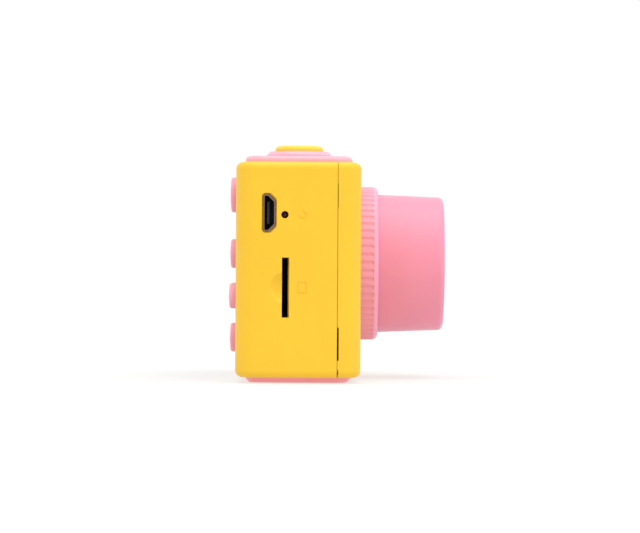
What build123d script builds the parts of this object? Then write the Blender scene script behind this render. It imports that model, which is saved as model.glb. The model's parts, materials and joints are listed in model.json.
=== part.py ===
"""A child's digital camera, as the pieces it comes apart into.

Two yellow shells hold the board, battery, screen and camera module. A pink ribbed ring and a pink lens tube
stand on the front, pink trims cover the roof and the floor, and pink keys and a yellow shutter button move.

Millimetres. The origin is the centre of the base trim's underside, where the camera stands. +Z is up,
-Y is the way the lens points, and the -X side holds the sockets, under the user's right hand.
"""

import math
import os

from build123d import *

# Case
case_width = 80.0
case_depth = 25.6
case_height = 43.9
base_trim_thick = 1.15
corner_round = 4.2  # upright corners, seen from above
edge_round = 1.4  # top and bottom edges
wall = 1.8
seam_y = -8.0  # where the front and rear shells meet
seam_gap = 0.1
notch_z, notch_length = 8.05, 6.7  # where the tongue is cut away on both side faces
# places where the seam stands open on both side faces: z, length, depth
seam_openings = [(2.0, 1.6, 0.25), (notch_z, notch_length, 0.3), (38.2, 5.0, 0.12)]
tongue_depth = 1.2  # the rear shell's tongue, inside the front shell
tongue_thick = 0.8
tongue_slack = 0.1

floor_z = base_trim_thick
roof_z = floor_z + case_height
inner_floor_z = floor_z + wall
inner_roof_z = roof_z - wall
side_x = case_width / 2
inner_side_x = side_x - wall
front_y = -case_depth / 2
rear_y = case_depth / 2
inner_front_y = front_y + wall
inner_rear_y = rear_y - wall

# Trims
trim_length = 70.0
trim_depth = 22.0
trim_corner = 4.0
top_trim_thick = 1.4
top_trim_edge = 1.0
base_trim_edge = 1.0
collar_radius = 6.85
collar_height = 1.1
collar_edge = 0.75
leg_x, leg_y = 33.0, 5.0  # snap legs of the top trim
leg_width, leg_thick, leg_reach = 3.0, 1.2, 2.6
leg_barb = 0.5
leg_slack = 0.1
barb_gap = 0.05  # between the barb and the roof it snaps under

# Shutter button
shutter_x = -25.0
shutter_radius = 5.0
shutter_slack = 0.2
shutter_top_z = roof_z + top_trim_thick + collar_height + 1.2
shutter_edge = 0.9
shutter_travel = 0.8
shutter_flange_thick = 0.8
shutter_flange_radius = 5.9
shutter_stem_y = 1.9  # over the switch, which stands on the board
flange_slack = 0.05

# Lens, with distances measured forward from the camera's middle plane
lens_z = 24.55
ring_radius = 16.45
ring_front = 16.85
ring_shoulder = 1.3
rib_count = 60
rib_length = 3.0
groove_radius = 0.7
groove_depth = 0.25
ring_bore = 13.9
ring_lip_front = 16.4  # the lip that the barrel's shoulder holds down
barrel_shoulder_radius = 14.83
shoulder_slack = 0.1
barrel_nose_radius = 14.27
barrel_spigot_radius = 13.8
barrel_front = 30.85
barrel_rim = 1.2
barrel_bore = 13.0
barrel_rear_bore = 10.9
barrel_rear_bore_front = 17.5
barrel_mouth_edge = 0.3
barrel_pilot_depth = 4.0
ledge_slope = 0.8  # the ledge's rear side slopes, so that it needs no support
ledge_bore = 11.4
ledge_rear = 26.6
ledge_front = 27.9
nose_bore = 12.4
lens_window_radius = 12.3
lens_window_thick = 1.2
baffle_rim_thick = 0.5
lens_hole_radius = 10.6
lens_screw_circle = 12.35
lens_screw_angles = (90, 210, 330)
carrier_flange_thick = 1.2
carrier_flange_radius = 14.4
carrier_radius = 10.4
carrier_wall = 1.2
carrier_front = 18.0
carrier_mouth_radius = 4.4

# Rear keys
pad_x = -23.6
ok_z = 17.7
pad_pitch = 8.7
power_z = 38.6
key_travel = 0.5
key_slack = 0.2
key_flange_thick = 0.8
key_flange_overlap = 0.55
key_flange_gap = 0.15
key_edge = 0.5
stem_radius = 1.3
stem_end_y = 8.9

key_proud, key_crown = 1.45, 0.2

# name: x, z, radius, height above the rear face, crown
keys = {
    "power": (pad_x, power_z, 3.65, key_proud, key_crown),
    "up": (pad_x, ok_z + pad_pitch, 3.0, key_proud, key_crown),
    "left": (pad_x + pad_pitch, ok_z, 2.6, key_proud, key_crown),
    "ok": (pad_x, ok_z, 2.65, 1.6, 0.55),
    "right": (pad_x - pad_pitch, ok_z, 2.6, key_proud, key_crown),
    "down": (pad_x, ok_z - pad_pitch, 3.0, key_proud, key_crown),
}

# Main board and switches
board_front_y = 3.5
board_rear_y = 4.7
board_half_width = 37.5
board_low_z, board_high_z = 3.6, 41.0
board_corner = 1.0
switch_size = 4.6
switch_height = 3.2
switch_bore_depth = 1.9
switch_corner_cut = 0.4
plunger_radius = 1.0
plunger_slack = 0.1
plunger_length = 2.0
plunger_edge = 0.2

# Sockets on the -X side
socket_recess = 0.4
usb_y, usb_z = 5.925, 34.63
usb_half_height = 3.75
usb_half_thick = 1.225
usb_chamfer = 1.25
usb_corner = 0.5
usb_wall = 0.25
usb_depth = 5.4
usb_clearance = 0.3
usb_fit = 0.05  # round the socket in the inner half of the wall
reset_y, reset_z = 2.75, 34.28
reset_hole_radius = 0.75
reset_travel = 0.25
card_y, card_z = 2.55, 19.48
card_slot_width, card_slot_length = 1.5, 12.2
card_slot_taper = 0.3  # the slot's front side slopes in by this much
card_mouth_width, card_mouth_length = 1.0, 11.4
card_depth = 14.5
mark_y = -0.8
mark_line = 0.25
reset_mark_radius = 0.85
card_mark_width, card_mark_height = 1.9, 2.4
mark_depth = 0.1
scoop_radius = 3.2
scoop_depth = 1.15

# Screen
screen_x, screen_z = 12.4, 23.4
window_width, window_height = 45.6, 37.2
window_corner = 2.6
window_seat = 1.1
window_thick = 0.9
window_gap = 0.1
tape_thick = 0.15
view_width, view_height = 41.2, 31.2
view_corner = 1.2
lcd_width, lcd_height = 45.0, 34.6
lcd_front_y = 8.6
lcd_frame_width, lcd_frame_height = 42.0, 32.4
lcd_frame_bar = 1.8

# Screws
base_screw_x = 28.0
base_screw_rear_y = 7.4
base_screw_front_y = -5.5
screw_radius = 0.85
pilot_slack = 0.02
screw_clearance = 0.2
board_screw_places = [(-14.2, 38.6), (-14.2, 6.6), (36.4, 27.0), (36.4, 9.0)]
boss_radius = 2.1
boss_height = 2.2
post_bore_depth = 5.0
side_post_reach = 3.2
side_post_x = inner_side_x - side_post_reach / 2
base_screw_length, board_screw_length, lens_screw_length = 4.8, 6.0, 7.0
base_head_radius, base_head_depth = 1.75, 0.95
base_head_recess = 0.1
pan_head_radius, pan_head_depth = 1.5, 1.0

# Front face fittings
flash_x, flash_z = 28.0, 36.5
flash_hole_radius = 2.6
flash_flange_overlap, flash_flange_thick = 0.7, 0.6
flash_window_slack = 0.05
flash_board_y = -8.4
flash_board_thick = 0.8
flash_board_width, flash_board_height = 12.2, 6.0
flash_post_x, flash_post_radius = 4.6, 1.1
led_width, led_height, led_thick = 3.4, 2.8, 0.9
led_dome_radius, led_dome_rise = 1.1, 0.6
speaker_x, speaker_z = 28.0, 18.4
speaker_radius = 6.5
speaker_thick = 3.6
speaker_rim_thick = 1.4
speaker_magnet_radius = 5.0
speaker_cone_radius, speaker_cone_depth = 5.5, 0.5
speaker_hole_radius = 0.6
speaker_hole_circle = 3.0
mic_x, mic_z = -28.5, 12.2
mic_radius = 2.0
mic_thick = 2.2
mic_port_radius, mic_port_depth = 0.7, 0.4
mic_hole_radius = 0.5
rib_wall = 0.8
rib_height = 2.0

# Strap bar in a pocket on the +X side
strap_y, strap_z = -1.6, 36.0
pocket_width, pocket_height, pocket_depth = 6.0, 7.0, 3.4
pocket_wall = 1.2
pocket_corner = 1.2
strap_pin_radius = 0.8
strap_pin_reach = 1.0  # into the wall at each end
strap_pin_x = side_x - pocket_depth / 3
strap_pin_low_z = strap_z - pocket_height / 2 - strap_pin_reach
strap_pin_length = pocket_height + 2 * strap_pin_reach

# Battery
battery_x, battery_z = 9.0, 21.0
battery_width, battery_height = 42.0, 30.0
battery_front_y, battery_rear_y = -3.0, 2.4
battery_corner, battery_edge = 1.2, 0.8
battery_tape_width, battery_tape_height = 26.0, 20.0

# Small edge breaks and corners that several pieces share
fine_edge = 0.12
small_edge = 0.2
soft_edge = 0.4
small_corner = 0.8

# Cross recess of a screw, as shares of its head's radius and depth
recess_reach, recess_width, recess_depth = 1.2, 0.28, 0.6

os.makedirs("parts", exist_ok=True)


def save(builder, name):
    """Labels a finished piece and writes it."""
    builder.part.label = name
    export_step(builder.part, f"parts/{name}.step")


def at_x(x):
    """Plane at x: local axes are Y and Z, and an extrusion runs towards +X."""
    return Plane.YZ.offset(x)


def at_y(y):
    """Plane at depth y: local axes are X and Z, and an extrusion runs forward."""
    return Plane.XZ.offset(-y)


def at_z(z):
    """Plane at height z: local axes are X and Y, and an extrusion runs upwards."""
    return Plane.XY.offset(z)


def on_lens(forward):
    """Plane across the lens axis at a distance forward of the middle plane."""
    return Plane(origin=(0, -forward, lens_z), x_dir=(1, 0, 0), z_dir=(0, -1, 0))


lens_section = Plane(origin=(0, 0, lens_z), x_dir=(0, -1, 0), z_dir=(-1, 0, 0))
lens_axis = Axis((0, 0, lens_z), (0, -1, 0))


def lens_profile(points):
    """Half section of a piece turned about the lens axis, from (forward, radius) points."""
    with BuildSketch(lens_section) as profile:
        with BuildLine():
            Polyline(*points, close=True)
        make_face()
    return profile.sketch


def rim_edges(turning, axis, radius, spot=-1):
    """Circular edges of a given radius, the spot-th along the axis."""
    circles = turning.edges().filter_by(GeomType.CIRCLE)
    same = circles.filter_by(lambda edge: abs(edge.radius - radius) < 0.005)
    return same.sort_by(axis)[spot]


def base_screw_spots(y):
    """The pair of base screw places at depth y."""
    return [(-base_screw_x, y), (base_screw_x, y)]


lens_screw_spots = [
    (lens_screw_circle * math.cos(math.radians(turn)), lens_screw_circle * math.sin(math.radians(turn)))
    for turn in lens_screw_angles
]

# ------------------------------------------------------------------ case

with BuildPart() as case_solid:
    with BuildSketch(at_z(floor_z)):
        RectangleRounded(case_width, case_depth, corner_round)
    extrude(amount=case_height)
    fillet(case_solid.edges().group_by(Axis.Z)[0], edge_round)
    fillet(case_solid.edges().group_by(Axis.Z)[-1], edge_round)

with BuildPart() as case_room:
    with BuildSketch(at_z(inner_floor_z)):
        RectangleRounded(case_width - 2 * wall, case_depth - 2 * wall, corner_round - wall)
    extrude(amount=inner_roof_z - inner_floor_z)


def seam_band(thick, start_y, depth):
    """Band around the inside of the wall at the seam, from start_y forward."""
    middle_z = (inner_floor_z + inner_roof_z) / 2
    inner_height = inner_roof_z - inner_floor_z
    with BuildPart() as band:
        with BuildSketch(at_y(start_y)):
            with Locations((0, middle_z)):
                Rectangle(2 * (inner_side_x + thick), inner_height + 2 * thick)
                Rectangle(2 * inner_side_x, inner_height, mode=Mode.SUBTRACT)
        extrude(amount=depth)
    return band.part


block_width, block_rear_y, block_top_z = 6.0, -3.3, 9.0
hook_x, hook_width, hook_thick, hook_end_y = 13.0, 6.0, 1.2, -4.5
hook_slack = 0.1

with BuildPart() as front_shell:
    add(case_solid.part)
    add(case_room.part, mode=Mode.SUBTRACT)
    split(bisect_by=at_y(seam_y - seam_gap / 2), keep=Keep.TOP)
    add(
        seam_band(tongue_thick + tongue_slack, seam_y, tongue_depth + tongue_slack),
        mode=Mode.SUBTRACT,
    )
    for opening_z, opening_length, opening_depth in seam_openings:
        with BuildSketch(at_y(seam_y)):
            with Locations((-side_x, opening_z), (side_x, opening_z)):
                Rectangle(wall, opening_length)
        extrude(amount=opening_depth, mode=Mode.SUBTRACT)
    # opening behind the lens barrel, and the holes its screws pass through
    with BuildSketch(on_lens(-inner_front_y)):
        Circle(lens_hole_radius)
        with Locations(*lens_screw_spots):
            Circle(screw_radius + screw_clearance)
    extrude(amount=wall, mode=Mode.SUBTRACT)
    # blocks standing on the rear shell's floor, for the front pair of base screws
    block_depth = block_rear_y - inner_front_y
    with BuildSketch(at_z(inner_floor_z)):
        with Locations(*base_screw_spots(inner_front_y + block_depth / 2)):
            Rectangle(block_width, block_depth)
        with Locations(*base_screw_spots(base_screw_front_y)):
            Circle(screw_radius + pilot_slack, mode=Mode.SUBTRACT)
    extrude(amount=block_top_z - inner_floor_z)
    # hooks that slide under the rear shell's roof
    hook_depth = hook_end_y - inner_front_y
    with BuildSketch(at_z(inner_roof_z - hook_slack - hook_thick)):
        with Locations((-hook_x, inner_front_y + hook_depth / 2), (hook_x, inner_front_y + hook_depth / 2)):
            Rectangle(hook_width, hook_depth)
    extrude(amount=hook_thick)
    # speaker and microphone seats: a round rib each, with holes through the wall inside it
    with BuildSketch(at_y(inner_front_y + rib_height)):
        with Locations((speaker_x, speaker_z)):
            Circle(speaker_radius + rib_wall + key_slack / 2)
            Circle(speaker_radius + key_slack / 2, mode=Mode.SUBTRACT)
        with Locations((mic_x, mic_z)):
            Circle(mic_radius + rib_wall + key_slack / 2)
            Circle(mic_radius + key_slack / 2, mode=Mode.SUBTRACT)
    extrude(amount=rib_height)
    with BuildSketch(at_y(inner_front_y)):
        with Locations((speaker_x, speaker_z)):
            Circle(speaker_hole_radius)
            with PolarLocations(speaker_hole_circle, 6):
                Circle(speaker_hole_radius)
        with Locations((mic_x, mic_z)):
            Circle(mic_hole_radius)
        with Locations((flash_x, flash_z)):
            Circle(flash_hole_radius)
    extrude(amount=wall, mode=Mode.SUBTRACT)
    # posts for the flash board
    with BuildSketch(at_y(flash_board_y)):
        with Locations((flash_x - flash_post_x, flash_z), (flash_x + flash_post_x, flash_z)):
            Circle(flash_post_radius)
    extrude(amount=flash_board_y - inner_front_y)
save(front_shell, "front_shell")


def usb_body(grow, start_x, depth):
    """The socket's D-shaped outline, grown all round, from start_x inwards."""
    with BuildPart() as body:
        with BuildSketch(at_x(start_x)) as outline:
            with Locations((usb_y, usb_z)):
                Rectangle(2 * (usb_half_thick + grow), 2 * (usb_half_height + grow))
            chamfer(outline.vertices().group_by(Axis.X)[0], usb_chamfer)
            fillet(outline.vertices(), usb_corner + grow)
        extrude(amount=depth)
    return body.part


# thumb scoop: half a shallow bowl, on the rear side of the card slot
scoop_ball_radius = (scoop_radius**2 + scoop_depth**2) / (2 * scoop_depth)
with BuildPart() as thumb_scoop:
    with Locations((-side_x - scoop_ball_radius + scoop_depth, card_y, card_z)):
        Sphere(scoop_ball_radius)
    split(bisect_by=at_y(card_y), keep=Keep.BOTTOM)

trim_leg_spots = [(sx * leg_x, sy * leg_y) for sx in (-1, 1) for sy in (-1, 1)]

with BuildPart() as rear_shell:
    add(case_solid.part)
    add(case_room.part, mode=Mode.SUBTRACT)
    split(bisect_by=at_y(seam_y + seam_gap / 2), keep=Keep.BOTTOM)
    add(seam_band(tongue_thick, seam_y + seam_gap / 2, tongue_depth))
    with BuildSketch(at_y(seam_y + seam_gap / 2)):
        with Locations((-inner_side_x, notch_z), (inner_side_x, notch_z)):
            Rectangle(2 * tongue_thick, notch_length)
    extrude(amount=tongue_depth, mode=Mode.SUBTRACT)
    # pocket for the strap bar
    with BuildSketch(at_x(side_x - pocket_depth - pocket_wall)):
        with Locations((strap_y, strap_z)):
            Rectangle(pocket_width + 2 * pocket_wall, pocket_height + 2 * pocket_wall)
    extrude(amount=pocket_depth + pocket_wall - wall / 2)
    with BuildSketch(at_x(side_x - pocket_depth)):
        with Locations((strap_y, strap_z)):
            RectangleRounded(pocket_width, pocket_height, pocket_corner)
    extrude(amount=pocket_depth, mode=Mode.SUBTRACT)
    with BuildSketch(at_z(strap_pin_low_z)):
        with Locations((strap_pin_x, strap_y)):
            Circle(strap_pin_radius + pilot_slack)
    extrude(amount=strap_pin_length, mode=Mode.SUBTRACT)
    # posts behind the board, and bosses for the rear pair of base screws
    with BuildSketch(at_y(inner_rear_y)):
        with Locations(*board_screw_places[:2]):
            Circle(boss_radius)
        with Locations(*[(side_post_x, z) for x, z in board_screw_places[2:]]):
            Rectangle(side_post_reach, 2 * boss_radius)
    extrude(amount=inner_rear_y - board_rear_y)
    with BuildSketch(at_y(board_rear_y + post_bore_depth)):
        with Locations(*board_screw_places):
            Circle(screw_radius + pilot_slack)
    extrude(amount=post_bore_depth, mode=Mode.SUBTRACT)
    with BuildSketch(at_z(inner_floor_z)):
        with Locations(*base_screw_spots(base_screw_rear_y)):
            Circle(boss_radius)
    extrude(amount=boss_height)
    with BuildSketch(at_z(floor_z)):
        with Locations(*base_screw_spots(base_screw_rear_y)):
            Circle(screw_radius + pilot_slack)
    extrude(amount=wall + boss_height, mode=Mode.SUBTRACT)
    with BuildSketch(at_z(floor_z)):
        with Locations(*base_screw_spots(base_screw_front_y)):
            Circle(screw_radius + screw_clearance)
    extrude(amount=wall, mode=Mode.SUBTRACT)
    # screen seat and opening
    with BuildSketch(at_y(rear_y)):
        with Locations((screen_x, screen_z)):
            RectangleRounded(window_width + 2 * window_gap, window_height + 2 * window_gap, window_corner)
    extrude(amount=window_seat, mode=Mode.SUBTRACT)
    with BuildSketch(at_y(rear_y - window_seat)):
        with Locations((screen_x, screen_z)):
            RectangleRounded(view_width, view_height, view_corner)
    extrude(amount=wall - window_seat, mode=Mode.SUBTRACT)
    # key holes
    with BuildSketch(at_y(rear_y)):
        for key_x, key_z, key_radius, proud, crown in keys.values():
            with Locations((key_x, key_z)):
                Circle(key_radius + key_slack)
    extrude(amount=wall, mode=Mode.SUBTRACT)
    # shutter hole, and slots for the top trim's legs
    with BuildSketch(at_z(inner_roof_z)):
        with Locations((shutter_x, 0)):
            Circle(shutter_radius + shutter_slack)
        with Locations(*trim_leg_spots):
            Rectangle(leg_width + 2 * leg_slack, leg_thick + 2 * leg_barb)
    extrude(amount=wall, mode=Mode.SUBTRACT)
    # sockets and pinhole on the -X side
    add(usb_body(usb_clearance, -side_x, wall / 2), mode=Mode.SUBTRACT)
    add(usb_body(usb_fit, -side_x + wall / 2, wall / 2), mode=Mode.SUBTRACT)
    with BuildSketch(at_x(-side_x)):
        with Locations((reset_y, reset_z)):
            Circle(reset_hole_radius)
    extrude(amount=wall, mode=Mode.SUBTRACT)
    with BuildSketch(at_z(card_z - card_slot_length / 2)):
        with BuildLine():
            Polyline(
                (-side_x, card_y + card_slot_width / 2),
                (-side_x, card_y - card_slot_width / 2),
                (-inner_side_x, card_y - card_slot_width / 2 + card_slot_taper),
                (-inner_side_x, card_y + card_slot_width / 2),
                close=True,
            )
        make_face()
    extrude(amount=card_slot_length, mode=Mode.SUBTRACT)
    add(thumb_scoop.part, mode=Mode.SUBTRACT)
    # faint moulded marks: an open ring beside the pinhole, and a card's outline beside the slot
    with BuildSketch(at_x(-side_x)):
        with Locations((mark_y, reset_z)):
            Circle(reset_mark_radius)
            Circle(reset_mark_radius - mark_line, mode=Mode.SUBTRACT)
            Rectangle(
                reset_mark_radius, reset_mark_radius, align=(Align.MIN, Align.MIN), mode=Mode.SUBTRACT
            )
        with Locations((mark_y, card_z)):
            Rectangle(card_mark_width, card_mark_height)
            Rectangle(
                card_mark_width - 2 * mark_line, card_mark_height - 2 * mark_line, mode=Mode.SUBTRACT
            )
    extrude(amount=mark_depth, mode=Mode.SUBTRACT)
save(rear_shell, "rear_shell")

with BuildPart() as strap_pin:
    with BuildSketch(at_z(strap_pin_low_z)):
        with Locations((strap_pin_x, strap_y)):
            Circle(strap_pin_radius)
    extrude(amount=strap_pin_length)
    chamfer(strap_pin.edges().filter_by(GeomType.CIRCLE), small_edge)
save(strap_pin, "strap_pin")

with BuildPart() as top_trim:
    with BuildSketch(at_z(roof_z)):
        RectangleRounded(trim_length, trim_depth, trim_corner)
    extrude(amount=top_trim_thick)
    fillet(top_trim.edges().group_by(Axis.Z)[-1], top_trim_edge)
    with BuildSketch(at_z(roof_z + top_trim_thick)):
        with Locations((shutter_x, 0)):
            Circle(collar_radius)
    extrude(amount=collar_height)
    chamfer(top_trim.edges().group_by(Axis.Z)[-1], collar_edge)
    with BuildSketch(at_z(roof_z)):
        with Locations((shutter_x, 0)):
            Circle(shutter_radius + shutter_slack)
    extrude(amount=top_trim_thick + collar_height, mode=Mode.SUBTRACT)
    # legs that pass through the roof and snap under it
    with BuildSketch(at_z(roof_z - leg_reach)):
        with Locations(*trim_leg_spots):
            Rectangle(leg_width, leg_thick)
    extrude(amount=leg_reach)
    for leg_spot_x, leg_spot_y in trim_leg_spots:
        side = math.copysign(1, leg_spot_y)
        leg_face_y = leg_spot_y + side * leg_thick / 2
        with BuildSketch(at_x(leg_spot_x - leg_width / 2)):
            with BuildLine():
                Polyline(
                    (leg_face_y, inner_roof_z - barb_gap),
                    (leg_face_y + side * leg_barb, inner_roof_z - barb_gap),
                    (leg_face_y, roof_z - leg_reach),
                    close=True,
                )
            make_face()
        extrude(amount=leg_width)
save(top_trim, "top_trim")

all_base_screws = base_screw_spots(base_screw_rear_y) + base_screw_spots(base_screw_front_y)
with BuildPart() as base_trim:
    with BuildSketch():
        RectangleRounded(trim_length, trim_depth, trim_corner)
    extrude(amount=base_trim_thick)
    chamfer(base_trim.edges().group_by(Axis.Z)[0], base_trim_edge)
    with BuildSketch():
        with Locations(*all_base_screws):
            Circle(screw_radius + screw_clearance)
    extrude(amount=base_trim_thick, mode=Mode.SUBTRACT)
    for spot_x, spot_y in all_base_screws:
        with Locations((spot_x, spot_y, base_head_recess + base_head_depth / 2)):
            Cone(base_head_radius, screw_radius, base_head_depth, mode=Mode.SUBTRACT)
        with BuildSketch():
            with Locations((spot_x, spot_y)):
                Circle(base_head_radius)
        extrude(amount=base_head_recess, mode=Mode.SUBTRACT)
save(base_trim, "base_trim")


def screw(head_radius, head_depth, length, flat_head):
    """Cross-head screw: its head's face lies on XY and its shank runs up +Z."""
    with BuildPart() as fastener:
        with BuildSketch():
            Circle(head_radius)
        if flat_head:
            with BuildSketch(at_z(head_depth)):
                Circle(screw_radius)
            loft()
        else:
            extrude(amount=head_depth)
            fillet(fastener.edges().group_by(Axis.Z)[0], 0.4 * head_depth)
        with BuildSketch(at_z(head_depth)):
            Circle(screw_radius)
        extrude(amount=length - head_depth)
        chamfer(fastener.edges().group_by(Axis.Z)[-1], 0.35 * screw_radius)
        with BuildSketch():
            Rectangle(recess_reach * head_radius, recess_width * head_radius)
            Rectangle(recess_width * head_radius, recess_reach * head_radius)
        extrude(amount=recess_depth * head_depth, mode=Mode.SUBTRACT)
    return fastener.part


def screw_set(one, planes, name):
    """Identical screws, each a separate solid of one piece."""
    with BuildPart() as screws:
        with Locations(*planes):
            add(one)
    save(screws, name)


base_screw = screw(base_head_radius, base_head_depth, base_screw_length, True)
base_screw_planes = [Plane(origin=(x, y, base_head_recess), z_dir=(0, 0, 1)) for x, y in all_base_screws]
screw_set(base_screw, base_screw_planes, "base_screws")

board_screw = screw(pan_head_radius, pan_head_depth, board_screw_length, False)
board_screw_y = board_front_y - pan_head_depth
board_screw_planes = [Plane(origin=(x, board_screw_y, z), z_dir=(0, 1, 0)) for x, z in board_screw_places]
screw_set(board_screw, board_screw_planes, "board_screws")

lens_screw = screw(pan_head_radius, pan_head_depth, lens_screw_length, False)
carrier_rear = -inner_front_y - carrier_flange_thick
lens_screw_y = pan_head_depth - carrier_rear
lens_screw_planes = [
    Plane(origin=(x, lens_screw_y, lens_z + z), z_dir=(0, -1, 0)) for x, z in lens_screw_spots
]
screw_set(lens_screw, lens_screw_planes, "lens_screws")

# ------------------------------------------------------------------ shutter button

shutter_flange_z = inner_roof_z - flange_slack
shutter_stem_z = 41.2
shutter_switch_top_z = 40.1
shutter_switch_tall = 3.5
with BuildPart() as shutter_button:
    with BuildSketch(at_z(shutter_flange_z - shutter_flange_thick)):
        with Locations((shutter_x, 0)):
            Circle(shutter_flange_radius)
    extrude(amount=shutter_flange_thick)
    with BuildSketch(at_z(shutter_flange_z)):
        with Locations((shutter_x, 0)):
            Circle(shutter_radius)
    extrude(amount=shutter_top_z - shutter_flange_z)
    fillet(rim_edges(shutter_button, Axis.Z, shutter_radius), shutter_edge)
    with BuildSketch(at_z(shutter_stem_z)):
        with Locations((shutter_x, shutter_stem_y)):
            Circle(stem_radius)
    extrude(amount=shutter_flange_z - shutter_flange_thick - shutter_stem_z)
save(shutter_button, "shutter_button")

with BuildPart() as shutter_plunger:
    with BuildSketch(at_z(shutter_stem_z - plunger_length)):
        with Locations((shutter_x, shutter_stem_y)):
            Circle(plunger_radius)
    extrude(amount=plunger_length)
    chamfer(shutter_plunger.edges().group_by(Axis.Z)[0], plunger_edge)
save(shutter_plunger, "shutter_plunger")

with BuildPart() as shutter_switch:
    with BuildSketch(at_z(shutter_switch_top_z)):
        with Locations((shutter_x, board_front_y - switch_height / 2)):
            Rectangle(switch_size, switch_height)
    extrude(amount=-shutter_switch_tall)
    chamfer(shutter_switch.edges().filter_by(Axis.Z), switch_corner_cut)
    with BuildSketch(at_z(shutter_switch_top_z)):
        with Locations((shutter_x, shutter_stem_y)):
            Circle(plunger_radius + plunger_slack)
    extrude(amount=-switch_bore_depth, mode=Mode.SUBTRACT)
save(shutter_switch, "shutter_switch")

# ------------------------------------------------------------------ rear keys


def key_button(x, z, radius, proud, crown):
    """A round key: crowned cap, flange behind the wall, and a stem to the switch."""
    flange_rear = inner_rear_y - key_flange_gap
    flange_front = flange_rear - key_flange_thick
    cap_y = rear_y + proud
    with BuildPart() as button:
        with BuildSketch(Plane(origin=(x, 0, z), x_dir=(1, 0, 0), z_dir=(0, 0, 1))):
            with BuildLine():
                Polyline(
                    (0, cap_y),
                    (0, stem_end_y),
                    (stem_radius, stem_end_y),
                    (stem_radius, flange_front),
                    (radius + key_flange_overlap, flange_front),
                    (radius + key_flange_overlap, flange_rear),
                    (radius, flange_rear),
                    (radius, cap_y - crown),
                )
                TangentArc((0, cap_y), (radius, cap_y - crown), tangent=(1, 0))
            make_face()
        revolve(axis=Axis((x, 0, z), (0, 1, 0)))
        fillet(rim_edges(button, Axis.Y, radius), key_edge)
    return button


def key_plunger(x, z):
    """The moving pin of the switch behind a key."""
    with BuildPart() as plunger:
        with BuildSketch(at_y(stem_end_y)):
            with Locations((x, z)):
                Circle(plunger_radius)
        extrude(amount=plunger_length)
        chamfer(plunger.edges().group_by(Axis.Y)[0], plunger_edge)
    return plunger


for key_name, (key_x, key_z, key_radius, proud, crown) in keys.items():
    save(key_button(key_x, key_z, key_radius, proud, crown), f"{key_name}_button")
    save(key_plunger(key_x, key_z), f"{key_name}_plunger")

key_spots = [(place[0], place[1]) for place in keys.values()]
with BuildPart() as key_switches:
    with BuildSketch(at_y(board_rear_y + switch_height)):
        with Locations(*key_spots):
            Rectangle(switch_size, switch_size)
    extrude(amount=switch_height)
    chamfer(key_switches.edges().filter_by(Axis.Y), switch_corner_cut)
    with BuildSketch(at_y(board_rear_y + switch_height)):
        with Locations(*key_spots):
            Circle(plunger_radius + plunger_slack)
    extrude(amount=switch_bore_depth, mode=Mode.SUBTRACT)
save(key_switches, "key_switches")

# ------------------------------------------------------------------ main board

with BuildPart() as main_board:
    with BuildSketch(at_y(board_rear_y)):
        with Locations((0, (board_low_z + board_high_z) / 2)):
            RectangleRounded(2 * board_half_width, board_high_z - board_low_z, board_corner)
        with Locations(*board_screw_places):
            Circle(screw_radius + screw_clearance, mode=Mode.SUBTRACT)
    extrude(amount=board_rear_y - board_front_y)
save(main_board, "main_board")

# x, z, width, height, thickness
rear_chips = [
    (8.0, 24.0, 10.0, 10.0, 1.2),
    (21.0, 27.0, 8.0, 6.0, 1.0),
    (20.0, 16.0, 5.0, 4.0, 1.2),
    (-2.0, 14.0, 4.0, 4.0, 2.0),
    (-2.0, 33.0, 3.2, 2.5, 0.8),
    (28.0, 12.0, 3.0, 3.0, 1.1),
]
passive_width, passive_height, passive_thick = 1.6, 0.8, 0.8
passive_pitch_x, passive_pitch_z = 3.0, 2.2
# x, z, columns of two
passive_groups = [(11.0, 34.0, 6), (8.0, 12.0, 4)]
with BuildPart() as board_chips:
    for chip_x, chip_z, chip_width, chip_height, chip_thick in rear_chips:
        with BuildSketch(at_y(board_rear_y + chip_thick)):
            with Locations((chip_x, chip_z)):
                Rectangle(chip_width, chip_height)
        extrude(amount=chip_thick)
    with BuildSketch(at_y(board_rear_y + passive_thick)):
        for group_x, group_z, columns in passive_groups:
            with Locations((group_x, group_z)):
                with GridLocations(passive_pitch_x, passive_pitch_z, columns, 2):
                    Rectangle(passive_width, passive_height)
    extrude(amount=passive_thick)
save(board_chips, "board_chips")

flex_socket_z, flex_socket_height = 37.7, 1.8
plug_width, plug_height, plug_thick = 4.2, 3.4, 2.5
battery_plug_x, battery_plug_z = -17.6, 33.0
speaker_plug_x, speaker_plug_z = 33.6, 16.2
light_plug_x, light_plug_z = 18.0, 38.6
mic_plug_x, mic_plug_z = -20.0, 8.6
# x, z, width, height, thickness
front_sockets = [
    (0.0, flex_socket_z, 7.4, flex_socket_height, 1.3),
    (battery_plug_x, battery_plug_z, plug_width, 4.6, plug_thick),
    (speaker_plug_x, speaker_plug_z, plug_width, plug_height, plug_thick),
    (light_plug_x, light_plug_z, plug_width, plug_height, plug_thick),
    (mic_plug_x, mic_plug_z, plug_width, plug_height, plug_thick),
]
with BuildPart() as board_connectors:
    for socket_x, socket_z, socket_width, socket_height, socket_thick in front_sockets:
        with BuildSketch(at_y(board_front_y)):
            with Locations((socket_x, socket_z)):
                Rectangle(socket_width, socket_height)
        extrude(amount=socket_thick)
    chamfer(board_connectors.edges().filter_by(Axis.Y), small_edge)
save(board_connectors, "board_connectors")

# ------------------------------------------------------------------ sockets and reset key

usb_mouth_x = -side_x + socket_recess
with BuildPart() as usb_socket:
    add(usb_body(0, usb_mouth_x, usb_depth))
    add(usb_body(-usb_wall, usb_mouth_x, usb_depth - usb_wall), mode=Mode.SUBTRACT)
save(usb_socket, "usb_socket")

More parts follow.
